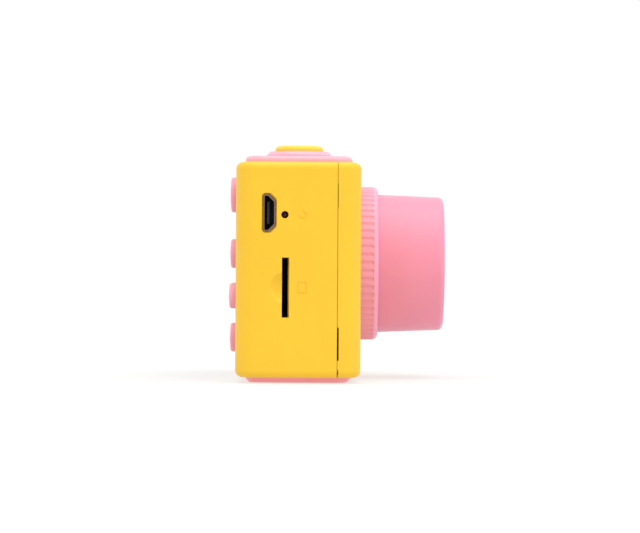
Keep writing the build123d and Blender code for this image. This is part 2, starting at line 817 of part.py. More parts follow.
tongue_height, tongue_width, tongue_gap = 4.6, 0.6, 0.45
tongue_setback, tongue_root = 0.7, 1.0
with BuildPart() as usb_tongue:
    tongue_y = usb_y + usb_half_thick - usb_wall - tongue_gap - tongue_width / 2
    with BuildSketch(at_x(usb_mouth_x + tongue_setback)):
        with Locations((tongue_y, usb_z)):
            Rectangle(tongue_width, tongue_height)
    extrude(amount=usb_depth - usb_wall - tongue_setback)
    chamfer(usb_tongue.edges().group_by(Axis.X)[0], fine_edge)
    # block that fills the back of the socket
    add(usb_body(-usb_wall, usb_mouth_x + usb_depth - usb_wall - tongue_root, tongue_root))
save(usb_tongue, "usb_tongue")

card_socket_thick, card_socket_height = 1.7, 14.0
card_socket_gap = 0.1
card_socket_x = -inner_side_x + card_socket_gap
card_way_y = card_y + card_slot_taper / 2
card_stop_thick = 0.5
card_cover_thick = 0.2
card_cover_flange = 0.25
card_cover_setback = 1.0
card_cover_side = 1.0
with BuildPart() as card_socket:
    with BuildSketch(at_x(card_socket_x)):
        with Locations((board_front_y - card_socket_thick / 2, card_z)):
            Rectangle(card_socket_thick, card_socket_height)
        with Locations((card_way_y, card_z)):
            Rectangle(card_mouth_width, card_mouth_length, mode=Mode.SUBTRACT)
    extrude(amount=card_depth)
    # stop at the end of the card's way
    with BuildSketch(at_x(card_socket_x + card_depth - card_stop_thick)):
        with Locations((card_way_y, card_z)):
            Rectangle(card_mouth_width, card_mouth_length)
    extrude(amount=card_stop_thick)
save(card_socket, "card_socket")

# stamped cover over the socket's front, with a window and two side flanges
card_cover_y = board_front_y - card_socket_thick
card_cover_length = card_depth - 2.5 * card_cover_setback
card_cover_x = card_socket_x + card_cover_setback + card_cover_length / 2
with BuildPart() as card_cover:
    with BuildSketch(at_y(card_cover_y)):
        with Locations((card_cover_x, card_z)):
            Rectangle(card_cover_length, card_socket_height + 2 * card_cover_flange)
            Rectangle(card_cover_length / 3, card_socket_height / 2, mode=Mode.SUBTRACT)
    extrude(amount=card_cover_thick)
    flange_z = (card_socket_height + card_cover_flange) / 2
    with BuildSketch(at_y(card_cover_y + card_cover_side)):
        with Locations((card_cover_x, card_z - flange_z), (card_cover_x, card_z + flange_z)):
            Rectangle(card_cover_length, card_cover_flange)
    extrude(amount=card_cover_side)
save(card_cover, "card_cover")

reset_switch_x, reset_switch_depth, reset_switch_height = -36.8, 3.0, 3.6
reset_plunger_radius, reset_plunger_length, reset_plunger_proud = 0.45, 1.7, 0.7
reset_bore_depth = 1.4
with BuildPart() as reset_switch:
    with BuildSketch(at_x(reset_switch_x)):
        with Locations((reset_y, reset_z)):
            Rectangle(2 * (board_front_y - reset_y), reset_switch_height)
    extrude(amount=reset_switch_depth)
    with BuildSketch(at_x(reset_switch_x)):
        with Locations((reset_y, reset_z)):
            Circle(reset_plunger_radius + plunger_slack)
    extrude(amount=reset_bore_depth, mode=Mode.SUBTRACT)
save(reset_switch, "reset_switch")

with BuildPart() as reset_plunger:
    with BuildSketch(at_x(reset_switch_x - reset_plunger_proud)):
        with Locations((reset_y, reset_z)):
            Circle(reset_plunger_radius)
    extrude(amount=reset_plunger_length)
    chamfer(reset_plunger.edges().group_by(Axis.X)[0], fine_edge)
save(reset_plunger, "reset_plunger")

# ------------------------------------------------------------------ screen

seat_y = rear_y - window_seat
with BuildPart() as window_tape:
    with BuildSketch(at_y(seat_y + tape_thick)):
        with Locations((screen_x, screen_z)):
            RectangleRounded(window_width, window_height, window_corner)
            RectangleRounded(view_width, view_height, view_corner, mode=Mode.SUBTRACT)
    extrude(amount=tape_thick)
save(window_tape, "window_tape")

with BuildPart() as screen_window:
    with BuildSketch(at_y(seat_y + tape_thick + window_thick)):
        with Locations((screen_x, screen_z)):
            RectangleRounded(window_width, window_height, window_corner)
    extrude(amount=window_thick)
    chamfer(screen_window.edges().group_by(Axis.Y)[-1], small_edge)
save(screen_window, "screen_window")

lcd_rear_y = inner_rear_y
with BuildPart() as lcd_panel:
    with BuildSketch(at_y(lcd_rear_y)):
        with Locations((screen_x, screen_z)):
            Rectangle(lcd_width, lcd_height)
    extrude(amount=lcd_rear_y - lcd_front_y)
    chamfer(lcd_panel.edges().filter_by(Axis.Y), soft_edge)
save(lcd_panel, "lcd_panel")

with BuildPart() as lcd_frame:
    with BuildSketch(at_y(lcd_front_y)):
        with Locations((screen_x, screen_z)):
            Rectangle(lcd_frame_width, lcd_frame_height)
            Rectangle(
                lcd_frame_width - 2 * lcd_frame_bar,
                lcd_frame_height - 2 * lcd_frame_bar,
                mode=Mode.SUBTRACT,
            )
    extrude(amount=lcd_front_y - board_rear_y)
    chamfer(lcd_frame.edges().filter_by(Axis.Y), soft_edge)
save(lcd_frame, "lcd_frame")


flex_thick = 0.2
flex_half_thick = flex_thick / 2


def flat_cable(points, bend, middle_x, width):
    """Flat flexible cable that follows (y, z) points, as wide as width along X."""
    with BuildPart() as cable:
        with BuildSketch(at_x(middle_x)):
            with BuildLine():
                FilletPolyline(*points, radius=bend)
            trace(line_width=flex_thick)
        extrude(amount=width / 2, both=True)
    return cable


lcd_low_z = screen_z - lcd_height / 2
lcd_flex_width, lcd_flex_bend = 14.0, 0.9
lcd_flex_y = lcd_front_y + 0.6
lcd_fold_z, lcd_flex_end_z = 4.2, 6.4
lcd_flex_points = [
    (lcd_flex_y, lcd_low_z),
    (lcd_flex_y, lcd_fold_z),
    (board_rear_y + flex_half_thick, lcd_fold_z),
    (board_rear_y + flex_half_thick, lcd_flex_end_z),
]
save(flat_cable(lcd_flex_points, lcd_flex_bend, screen_x, lcd_flex_width), "lcd_flex")

# ------------------------------------------------------------------ lens

with BuildPart() as lens_ring:
    profile = lens_profile(
        [
            (-front_y, ring_bore),
            (-front_y, ring_radius),
            (ring_front, ring_radius),
            (ring_front, barrel_shoulder_radius + shoulder_slack),
            (ring_lip_front, barrel_shoulder_radius + shoulder_slack),
            (ring_lip_front, ring_bore),
        ]
    )
    revolve(profile, axis=lens_axis)
    fillet(rim_edges(lens_ring, Axis.Y, ring_radius, 0), ring_shoulder)
    with BuildSketch(on_lens(-front_y)):
        with PolarLocations(ring_radius + groove_radius - groove_depth, rib_count):
            Circle(groove_radius)
    extrude(amount=rib_length, mode=Mode.SUBTRACT)
save(lens_ring, "lens_ring")

with BuildPart() as lens_barrel:
    profile = lens_profile(
        [
            (-front_y, barrel_rear_bore),
            (-front_y, barrel_spigot_radius),
            (ring_lip_front, barrel_spigot_radius),
            (ring_lip_front, barrel_shoulder_radius),
            (barrel_front, barrel_nose_radius),
            (barrel_front, nose_bore),
            (ledge_front, nose_bore),
            (ledge_front, ledge_bore),
            (ledge_rear, ledge_bore),
            (ledge_rear - ledge_slope, barrel_bore),
            (barrel_rear_bore_front, barrel_bore),
            (barrel_rear_bore_front, barrel_rear_bore),
        ]
    )
    revolve(profile, axis=lens_axis)
    fillet(rim_edges(lens_barrel, Axis.Y, barrel_nose_radius, 0), barrel_rim)
    chamfer(rim_edges(lens_barrel, Axis.Y, nose_bore, 0), barrel_mouth_edge)
    with BuildSketch(on_lens(-front_y)):
        with Locations(*lens_screw_spots):
            Circle(screw_radius + pilot_slack)
    extrude(amount=barrel_pilot_depth, mode=Mode.SUBTRACT)
save(lens_barrel, "lens_barrel")

baffle_front = ledge_front + baffle_rim_thick
with BuildPart() as lens_window:
    with BuildSketch(on_lens(baffle_front)):
        Circle(lens_window_radius)
    extrude(amount=lens_window_thick)
    chamfer(lens_window.edges().group_by(Axis.Y)[0], fine_edge)
save(lens_window, "lens_window")

# black stepped funnel: each step is a flat ring and a short wall
baffle_wall = 0.6
step_radii = [11.2, 9.6, 8.0, 6.4]
step_depth = 1.3
baffle_outside = []
baffle_inside = []
for step, step_radius in enumerate(step_radii):
    step_front = baffle_front - step * step_depth
    baffle_inside.append((step_front, step_radius - baffle_wall))
    baffle_inside.append((step_front - step_depth, step_radius - baffle_wall))
    baffle_outside.append((step_front - baffle_rim_thick, step_radius))
    baffle_outside.append((step_front - step_depth - baffle_rim_thick, step_radius))
aperture_radius = 4.3
baffle_floor = baffle_front - len(step_radii) * step_depth
with BuildPart() as lens_baffle:
    profile = lens_profile(
        [
            (baffle_front, lens_window_radius),
            *baffle_inside,
            (baffle_floor, aperture_radius),
            (baffle_floor - baffle_rim_thick, aperture_radius),
            *reversed(baffle_outside),
            (ledge_front, lens_window_radius),
        ]
    )
    revolve(profile, axis=lens_axis)
save(lens_baffle, "lens_baffle")

with BuildPart() as module_carrier:
    profile = lens_profile(
        [
            (carrier_rear, carrier_radius - carrier_wall),
            (carrier_rear, carrier_flange_radius),
            (carrier_rear + carrier_flange_thick, carrier_flange_radius),
            (carrier_rear + carrier_flange_thick, carrier_radius),
            (carrier_front, carrier_radius),
            (carrier_front, carrier_mouth_radius),
            (carrier_front - carrier_wall, carrier_mouth_radius),
            (carrier_front - carrier_wall, carrier_radius - carrier_wall),
        ]
    )
    revolve(profile, axis=lens_axis)
    with BuildSketch(on_lens(carrier_rear)):
        with Locations(*lens_screw_spots):
            Circle(screw_radius + screw_clearance)
    extrude(amount=carrier_flange_thick, mode=Mode.SUBTRACT)
save(module_carrier, "module_carrier")

module_size, module_board_size, module_board_thick = 9.0, 11.5, 0.8
module_front = carrier_front - carrier_wall
module_rear = 12.3
sensor_room, sensor_room_depth = 6.4, 1.5
sensor_width, sensor_height, sensor_thick = 5.2, 4.6, 0.9
neck_radius, neck_front, cell_radius = 4.3, 19.0, 3.5
with BuildPart() as camera_module:
    with BuildSketch(on_lens(module_rear)):
        RectangleRounded(module_size, module_size, small_corner)
    extrude(amount=module_front - module_rear)
    with BuildSketch(on_lens(module_front)):
        Circle(neck_radius)
    extrude(amount=neck_front - module_front)
    with BuildSketch(on_lens(module_rear)):
        Rectangle(sensor_room, sensor_room)
    extrude(amount=sensor_room_depth, mode=Mode.SUBTRACT)
    with BuildSketch(on_lens(module_rear)):
        Circle(cell_radius)
    extrude(amount=neck_front - module_rear, mode=Mode.SUBTRACT)
save(camera_module, "camera_module")

cell_rear, cell_front, cell_flange_radius = 15.0, 21.2, 3.95
cell_bore, cell_mouth_radius, cell_lip = 2.0, 3.0, 0.5
glass_radius, glass_thick, glass_dome = 2.3, 1.2, 0.5
glass_front = cell_front - cell_lip
with BuildPart() as lens_cell:
    profile = lens_profile(
        [
            (cell_rear, cell_bore),
            (cell_rear, cell_radius - pilot_slack),
            (neck_front, cell_radius - pilot_slack),
            (neck_front, cell_flange_radius),
            (cell_front, cell_flange_radius),
            (cell_front, cell_mouth_radius),
            (glass_front, glass_radius + pilot_slack),
            (glass_front - glass_thick, glass_radius + pilot_slack),
            (glass_front - glass_thick, cell_bore),
        ]
    )
    revolve(profile, axis=lens_axis)
save(lens_cell, "lens_cell")

with BuildPart() as lens_glass:
    with BuildSketch(lens_section):
        with BuildLine():
            Polyline(
                (glass_front, 0),
                (glass_front - glass_thick, 0),
                (glass_front - glass_thick, glass_radius),
                (glass_front - glass_dome, glass_radius),
            )
            TangentArc((glass_front, 0), (glass_front - glass_dome, glass_radius), tangent=(0, 1))
        make_face()
    revolve(axis=lens_axis)
save(lens_glass, "lens_glass")

with BuildPart() as module_board:
    with BuildSketch(on_lens(module_rear - module_board_thick)):
        RectangleRounded(module_board_size, module_board_size, small_corner)
    extrude(amount=module_board_thick)
save(module_board, "module_board")

with BuildPart() as image_sensor:
    with BuildSketch(on_lens(module_rear)):
        Rectangle(sensor_width, sensor_height)
    extrude(amount=sensor_thick)
    chamfer(image_sensor.edges().group_by(Axis.Y)[0], fine_edge)
save(image_sensor, "image_sensor")

camera_flex_width, camera_flex_bend = 6.0, 1.2
camera_flex_y = flex_half_thick - (module_rear - module_board_thick)
flex_socket_top_z = flex_socket_z + flex_socket_height / 2
camera_flex_points = [
    (camera_flex_y, 20.6),
    (camera_flex_y, 27.5),
    (-6.6, 31.0),
    (-4.8, 40.8),
    (2.9, 41.6),
    (2.9, flex_socket_top_z),
]
save(flat_cable(camera_flex_points, camera_flex_bend, 0, camera_flex_width), "camera_flex")

# ------------------------------------------------------------------ battery, speaker, microphone, light

with BuildPart() as battery:
    with BuildSketch(at_y(battery_rear_y)):
        with Locations((battery_x, battery_z)):
            RectangleRounded(battery_width, battery_height, battery_corner)
    extrude(amount=battery_rear_y - battery_front_y)
    fillet(battery.edges().group_by(Axis.Y)[0], battery_edge)
    fillet(battery.edges().group_by(Axis.Y)[-1], battery_edge)
save(battery, "battery")

with BuildPart() as battery_tape:
    with BuildSketch(at_y(board_front_y)):
        with Locations((battery_x, battery_z)):
            Rectangle(battery_tape_width, battery_tape_height)
    extrude(amount=board_front_y - battery_rear_y)
save(battery_tape, "battery_tape")

with BuildPart() as speaker:
    with BuildSketch(at_y(inner_front_y + speaker_thick)):
        with Locations((speaker_x, speaker_z)):
            Circle(speaker_magnet_radius)
    extrude(amount=speaker_thick)
    with BuildSketch(at_y(inner_front_y + speaker_rim_thick)):
        with Locations((speaker_x, speaker_z)):
            Circle(speaker_radius)
    extrude(amount=speaker_rim_thick)
    with BuildSketch(at_y(inner_front_y)):
        with Locations((speaker_x, speaker_z)):
            Circle(speaker_cone_radius)
    extrude(amount=-speaker_cone_depth, mode=Mode.SUBTRACT)
save(speaker, "speaker")

with BuildPart() as microphone:
    with BuildSketch(at_y(inner_front_y + mic_thick)):
        with Locations((mic_x, mic_z)):
            Circle(mic_radius)
    extrude(amount=mic_thick)
    chamfer(microphone.edges().group_by(Axis.Y)[-1], small_edge)
    with BuildSketch(at_y(inner_front_y)):
        with Locations((mic_x, mic_z)):
            Circle(mic_port_radius)
    extrude(amount=-mic_port_depth, mode=Mode.SUBTRACT)
save(microphone, "microphone")

with BuildPart() as flash_window:
    with BuildSketch(at_y(inner_front_y + flash_flange_thick)):
        with Locations((flash_x, flash_z)):
            Circle(flash_hole_radius + flash_flange_overlap)
    extrude(amount=flash_flange_thick)
    with BuildSketch(at_y(inner_front_y)):
        with Locations((flash_x, flash_z)):
            Circle(flash_hole_radius - flash_window_slack)
    extrude(amount=wall)
    chamfer(flash_window.edges().group_by(Axis.Y)[0], small_edge)
save(flash_window, "flash_window")

with BuildPart() as flash_board:
    with BuildSketch(at_y(flash_board_y + flash_board_thick)):
        with Locations((flash_x, flash_z)):
            RectangleRounded(flash_board_width, flash_board_height, small_corner)
    extrude(amount=flash_board_thick)
save(flash_board, "flash_board")

with BuildPart() as flash_led:
    with BuildSketch(at_y(flash_board_y)):
        with Locations((flash_x, flash_z)):
            Rectangle(led_width, led_height)
    extrude(amount=led_thick)
    with BuildSketch(at_y(flash_board_y - led_thick)):
        with Locations((flash_x, flash_z)):
            Circle(led_dome_radius)
    extrude(amount=led_dome_rise)
    fillet(flash_led.edges().group_by(Axis.Y)[0], soft_edge)
save(flash_led, "flash_led")

wire_radius = 0.35


def wire_pair(points, bend, shift):
    """Two insulated wires side by side, each a tube along straight runs and arcs."""
    with BuildPart() as pair:
        for step_aside in (0, 1):
            moved = [tuple(p + step_aside * s for p, s in zip(point, shift)) for point in points]
            with BuildLine() as route:
                FilletPolyline(*moved, radius=bend)
            with BuildSketch(Plane(origin=route.line @ 0, z_dir=route.line % 0)):
                Circle(wire_radius)
            sweep()
    return pair


lead_pitch = 1.1
battery_side_x = battery_x - battery_width / 2
battery_lead_z = battery_plug_z - lead_pitch / 2
plug_front_y = board_front_y - plug_thick
battery_lead_points = [
    (battery_side_x, -0.4, battery_lead_z),
    (battery_side_x - 1.5, -0.4, battery_lead_z),
    (battery_side_x - 1.9, 2.1, battery_lead_z),
    (battery_plug_x + plug_width / 2, 2.1, battery_lead_z),
]
save(wire_pair(battery_lead_points, 0.6, (0, 0, lead_pitch)), "battery_leads")

speaker_tab_x = speaker_x + 3.2
speaker_lead_x = speaker_plug_x - lead_pitch / 2
speaker_lead_points = [
    (speaker_tab_x, inner_front_y + speaker_thick, speaker_z),
    (speaker_tab_x, -5.2, speaker_z),
    (speaker_lead_x, -1.6, speaker_plug_z),
    (speaker_lead_x, plug_front_y, speaker_plug_z),
]
save(wire_pair(speaker_lead_points, 1.2, (lead_pitch, 0, 0)), "speaker_leads")

flash_lead_x = flash_x - 3.0
flash_lead_z = flash_z + 1.1
light_lead_z = light_plug_z - lead_pitch / 2
flash_lead_points = [
    (flash_lead_x, flash_board_y + flash_board_thick, flash_lead_z),
    (flash_lead_x, -5.2, flash_lead_z),
    (light_plug_x, -1.4, light_lead_z),
    (light_plug_x, plug_front_y, light_lead_z),
]
save(wire_pair(flash_lead_points, 1.0, (0, 0, lead_pitch)), "flash_leads")

mic_lead_z = mic_z - lead_pitch / 2
mic_plug_lead_z = mic_plug_z - lead_pitch / 2
mic_lead_points = [
    (mic_x, inner_front_y + mic_thick, mic_lead_z),
    (mic_x, -6.0, mic_lead_z),
    (mic_plug_x, -1.6, mic_plug_lead_z),
    (mic_plug_x, plug_front_y, mic_plug_lead_z),
]
save(wire_pair(mic_lead_points, 1.0, (0, 0, lead_pitch)), "microphone_leads")
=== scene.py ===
import json
import math

import bmesh
import bpy
from mathutils import Matrix, Vector


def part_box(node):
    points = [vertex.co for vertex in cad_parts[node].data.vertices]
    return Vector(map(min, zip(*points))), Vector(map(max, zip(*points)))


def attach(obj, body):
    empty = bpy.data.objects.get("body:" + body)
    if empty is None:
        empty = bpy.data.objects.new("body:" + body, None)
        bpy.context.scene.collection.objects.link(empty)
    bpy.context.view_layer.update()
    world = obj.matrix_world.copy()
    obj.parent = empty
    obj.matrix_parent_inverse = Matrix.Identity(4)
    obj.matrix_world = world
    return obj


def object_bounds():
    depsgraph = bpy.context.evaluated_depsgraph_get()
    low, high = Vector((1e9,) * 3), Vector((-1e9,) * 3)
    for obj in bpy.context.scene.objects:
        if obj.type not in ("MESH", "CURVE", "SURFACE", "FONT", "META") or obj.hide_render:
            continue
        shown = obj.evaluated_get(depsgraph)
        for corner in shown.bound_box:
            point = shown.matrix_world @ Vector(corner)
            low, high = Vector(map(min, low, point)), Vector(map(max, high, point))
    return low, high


# Looks for a child's digital camera. Every length is in metres, in the CAD model's own frame:
# +Z up, the lens points along -Y, and the -X side holds the sockets.

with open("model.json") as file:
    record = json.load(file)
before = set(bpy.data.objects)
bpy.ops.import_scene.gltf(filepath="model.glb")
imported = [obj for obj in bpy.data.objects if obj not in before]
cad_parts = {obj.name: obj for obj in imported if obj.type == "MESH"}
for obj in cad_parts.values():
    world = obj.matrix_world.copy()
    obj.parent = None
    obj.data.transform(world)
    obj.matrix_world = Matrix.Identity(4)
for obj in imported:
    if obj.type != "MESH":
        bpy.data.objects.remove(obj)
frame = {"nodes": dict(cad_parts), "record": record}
nodes = frame["nodes"]
cad_low, cad_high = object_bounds()
MM = 0.001


# ---------------------------------------------------------------- materials


class Look:
    """A node material under construction, with its shader and the object's own coordinates."""

    def __init__(self, name):
        self.material = bpy.data.materials.new(name)
        self.material.use_nodes = True
        self.tree = self.material.node_tree
        self.shader = self.tree.nodes["Principled BSDF"]
        self.place = self.tree.nodes.new("ShaderNodeTexCoord").outputs["Object"]
        self.height = None

    def node(self, kind, **settings):
        made = self.tree.nodes.new(kind)
        for key, value in settings.items():
            setattr(made, key, value)
        return made

    def link(self, output, socket):
        self.tree.links.new(output, socket)

    def feed(self, name, output):
        """Links an output to one of the shader's own sockets."""
        self.link(output, self.shader.inputs[name])

    def set(self, **values):
        """Constants, straight on the shader's own sockets."""
        for key, value in values.items():
            self.shader.inputs[key.replace("_", " ")].default_value = value

    def stretched(self, scale):
        mapping = self.node("ShaderNodeMapping")
        mapping.inputs["Scale"].default_value = scale
        self.link(self.place, mapping.inputs["Vector"])
        return mapping.outputs["Vector"]

    def noise(self, size, detail=2.0, roughness=0.5, place=None):
        """Noise whose blobs are about size metres across."""
        made = self.node("ShaderNodeTexNoise")
        made.inputs["Scale"].default_value = 1.0 / size
        made.inputs["Detail"].default_value = detail
        made.inputs["Roughness"].default_value = roughness
        self.link(place or self.place, made.inputs["Vector"])
        return made.outputs["Fac"]

    def cells(self, size, feature="F1"):
        made = self.node("ShaderNodeTexVoronoi", feature=feature)
        made.inputs["Scale"].default_value = 1.0 / size
        self.link(self.place, made.inputs["Vector"])
        return made.outputs["Distance"]

    def along(self, axis):
        """The object's own coordinate along one axis, in metres."""
        split = self.node("ShaderNodeSeparateXYZ")
        self.link(self.place, split.inputs["Vector"])
        return split.outputs[axis]

    def math(self, operation, first, second):
        """A sum on one output and a number or another output."""
        made = self.node("ShaderNodeMath", operation=operation)
        self.link(first, made.inputs[0])
        if isinstance(second, float):
            made.inputs[1].default_value = second
        else:
            self.link(second, made.inputs[1])
        return made.outputs[0]

    def within(self, middle, area):
        """1 inside a rectangle of some width and height about a point on the rear face, 0 outside it."""
        inside = None
        for axis, size in zip("XZ", area):
            offset = self.math("SUBTRACT", self.along(axis), getattr(middle, axis.lower()))
            distance = self.math("ABSOLUTE", offset, 0.0)
            near = self.math("LESS_THAN", distance, size / 2)
            inside = near if inside is None else self.math("MULTIPLY", inside, near)
        return inside

    def between(self, value, low, high, start=0.3, end=0.7):
        made = self.node("ShaderNodeMapRange")
        made.inputs["From Min"].default_value = start
        made.inputs["From Max"].default_value = end
        made.inputs["To Min"].default_value = low
        made.inputs["To Max"].default_value = high
        self.link(value, made.inputs["Value"])
        return made.outputs["Result"]

    def colours(self, value, low, high):
        made = self.node("ShaderNodeMix", data_type="RGBA")
        self.link(value, made.inputs["Factor"])
        made.inputs["A"].default_value = (*low, 1)
        made.inputs["B"].default_value = (*high, 1)
        # the colour result is the mix node's third output
        return made.outputs[2]

    def over(self, value, under, colour):
        """One colour laid over another output where value is 1."""
        made = self.node("ShaderNodeMix", data_type="RGBA")
        self.link(value, made.inputs["Factor"])
        # the two colours are the mix node's seventh and eighth inputs
        self.link(under, made.inputs[6])
        made.inputs[7].default_value = (*colour, 1)
        return made.outputs[2]

    def bump(self, value, depth, strength=1.0):
        """Adds relief of about depth metres on top of any earlier relief."""
        made = self.node("ShaderNodeBump")
        made.inputs["Distance"].default_value = depth
        made.inputs["Strength"].default_value = strength
        self.link(value, made.inputs["Height"])
        if self.height is not None:
            self.link(self.height, made.inputs["Normal"])
        self.height = made.outputs["Normal"]
        self.feed("Normal", self.height)


BLACK_PRINT = (0.005, 0.005, 0.006)
CLOUD_SIZE = 14 * MM
CLOUD_DARK, CLOUD_LIGHT = 0.975, 1.025
GLOSS_PATCH_SIZE = 5 * MM
GLOSS_SPREAD = 0.05
SINK_SIZE, SINK_DEPTH, SINK_STRENGTH = 9 * MM, 0.02 * MM, 0.5
GRAIN_DEPTH = 0.004 * MM
BRUSH_LINE_SIZE, BRUSH_LINE_DEPTH = 4 * MM, 0.004 * MM


def shade(colour, factor):
    return tuple(min(1.0, channel * factor) for channel in colour)


def moulded(name, colour, rough=0.38, grain=0.12 * MM, bezel=None):
    """Injection-moulded plastic: faint cloudiness, a fine spark-eroded grain and uneven gloss.

    bezel is the middle and the size of an opening whose walls are painted black.
    """
    look = Look(name)
    cloud = look.between(look.noise(CLOUD_SIZE, 3.0), 0.0, 1.0)
    base = look.colours(cloud, shade(colour, CLOUD_DARK), shade(colour, CLOUD_LIGHT))
    if bezel:
        painted = look.math("GREATER_THAN", look.along("Y"), bezel[0].y)
        painted = look.math("MULTIPLY", look.within(*bezel), painted)
        base = look.over(painted, base, BLACK_PRINT)
    look.feed("Base Color", base)
    patch = look.noise(GLOSS_PATCH_SIZE, 4.0, 0.6)
    look.feed("Roughness", look.between(patch, rough - GLOSS_SPREAD, rough + GLOSS_SPREAD))
    look.bump(look.noise(SINK_SIZE, 1.0), SINK_DEPTH, SINK_STRENGTH)
    look.bump(look.noise(grain, 2.0), GRAIN_DEPTH)
    look.set(Specular_IOR_Level=0.26, Subsurface_Weight=0.06, Subsurface_Scale=0.6 * MM)
    look.shader.inputs["Subsurface Radius"].default_value = (1.0, 0.6, 0.3)
    return look.material


def matt_black(name, level=0.018, rough=0.6, grain_depth=0.006 * MM, specular=0.3):
    look = Look(name)
    tone = (level, level, level * 1.08)
    cloud = look.noise(2 * MM, 3.0)
    look.feed("Base Color", look.colours(cloud, shade(tone, 0.85), shade(tone, 1.2)))
    look.feed("Roughness", look.between(look.noise(1.5 * MM), rough - 0.06, rough + 0.06))
    look.bump(look.noise(0.15 * MM, 2.0), grain_depth)
    look.set(Specular_IOR_Level=specular)
    return look.material


def metal(name, colour, rough=0.3, brush=(40, 1, 1)):
    """Stamped or turned metal with fine lines along one direction."""
    look = Look(name)
    lines = look.noise(BRUSH_LINE_SIZE, 4.0, 0.6, look.stretched(brush))
    look.feed("Base Color", look.colours(lines, shade(colour, 0.85), shade(colour, 1.12)))
    look.feed("Roughness", look.between(lines, rough - 0.08, rough + 0.1))
    look.bump(lines, BRUSH_LINE_DEPTH)
    look.set(Metallic=1.0)
    return look.material


def socket_metal(name, mouth):
    """Tinned steel that is bright at the mouth, at x = mouth, with painted shade that darkens it inside."""
    look = Look(name)
    lines = look.noise(BRUSH_LINE_SIZE, 4.0, 0.6, look.stretched((1, 40, 1)))
    bright = look.colours(lines, (0.17, 0.11, 0.085), (0.27, 0.185, 0.15))
    # painted shade: the colour goes dark from just inside the mouth to 0.3 mm deeper
    depth = look.between(look.along("X"), 0.0, 1.0, mouth + 0.02 * MM, mouth + 0.3 * MM)
    look.feed("Base Color", look.over(depth, bright, (0.014, 0.011, 0.010)))
    look.feed("Roughness", look.between(lines, 0.3, 0.45))
    look.bump(lines, BRUSH_LINE_DEPTH)
    look.set(Metallic=1.0)
    return look.material


def clear(name, tint=(0.96, 0.98, 1.0), rough=0.02, ior=1.49):
    """Polished acrylic or glass, with a trace of smear in its gloss."""
    look = Look(name)
    smear = look.noise(8 * MM, 3.0, 0.6)
    look.feed("Base Color", look.colours(smear, shade(tint, 0.97), tint))
    look.feed("Roughness", look.between(smear, rough, rough + 0.03))
    look.set(Transmission_Weight=1.0, IOR=ior)
    return look.material


def printed_window(name, tint, middle, view, ior):
    """Acrylic that is clear over the display and printed black around it."""
    look = Look(name)
    inside = look.within(middle, view)
    look.feed("Base Color", look.colours(inside, BLACK_PRINT, tint))
    look.feed("Transmission Weight", inside)
    look.feed("Roughness", look.between(look.noise(12 * MM, 2.0), 0.02, 0.03))
    look.set(IOR=ior)
    return look.material


def circuit_board(name):
    look = Look(name)
    tracks = look.between(look.cells(2.2 * MM, "DISTANCE_TO_EDGE"), 1.0, 0.0, 0.02, 0.09)
    look.feed("Base Color", look.colours(tracks, (0.012, 0.14, 0.06), (0.03, 0.26, 0.12)))
    look.bump(tracks, 0.02 * MM)
    look.feed("Roughness", look.between(look.noise(3 * MM), 0.25, 0.4))
    return look.material


def display(name, middle, active):
    """A switched-off liquid-crystal panel: a near-black active area inside a blacker border."""
    look = Look(name)
    rows = look.noise(0.25 * MM, 1.0, 0.5, look.stretched((1, 1, 5)))
    tone = look.math("MULTIPLY", look.between(rows, 0.97, 1.0), look.within(middle, active))
    look.feed("Base Color", look.colours(tone, (0.002, 0.002, 0.003), (0.009, 0.010, 0.015)))
    look.feed("Roughness", look.between(look.noise(10 * MM), 0.3, 0.4))
    look.set(Specular_IOR_Level=0.0)
    return look.material


def glass_painted_coat_reflection(name):
    """Dark lens glass with a painted reflection: its base colour is violet face-on and turns green where the
    dome's surface turns away from the view, towards its rim.
    """
    look = Look(name)
    facing = look.node("ShaderNodeLayerWeight")
    facing.inputs["Blend"].default_value = 0.45
    violet, green = (0.035, 0.018, 0.10), (0.01, 0.09, 0.07)
    # painted reflection: the coating's violet and green tints follow the viewing angle
    look.feed("Base Color", look.colours(facing.outputs["Facing"], violet, green))
    look.feed("Roughness", look.between(look.noise(1 * MM), 0.02, 0.05))
    look.set(Coat_Weight=1.0, Coat_Roughness=0.02, IOR=1.6)
    look.shader.inputs["Specular Tint"].default_value = (0.55, 0.4, 1.0, 1)
    return look.material


def soft_film(name, colour, wrinkle, rough=0.4, depth=0.04 * MM, metallic=0.0):
    """Thin film or tape: wrinkles of a given size."""
    look = Look(name)
    folds = look.noise(wrinkle, 4.0, 0.6)
    look.feed("Base Color", look.colours(folds, shade(colour, 0.85), shade(colour, 1.15)))
    look.feed("Roughness", look.between(folds, rough - 0.1, rough + 0.1))
    look.bump(folds, depth)
    look.set(Metallic=metallic)
    return look.material


YELLOW = (0.84, 0.505, 0.026)
PINK = (0.79, 0.272, 0.380)
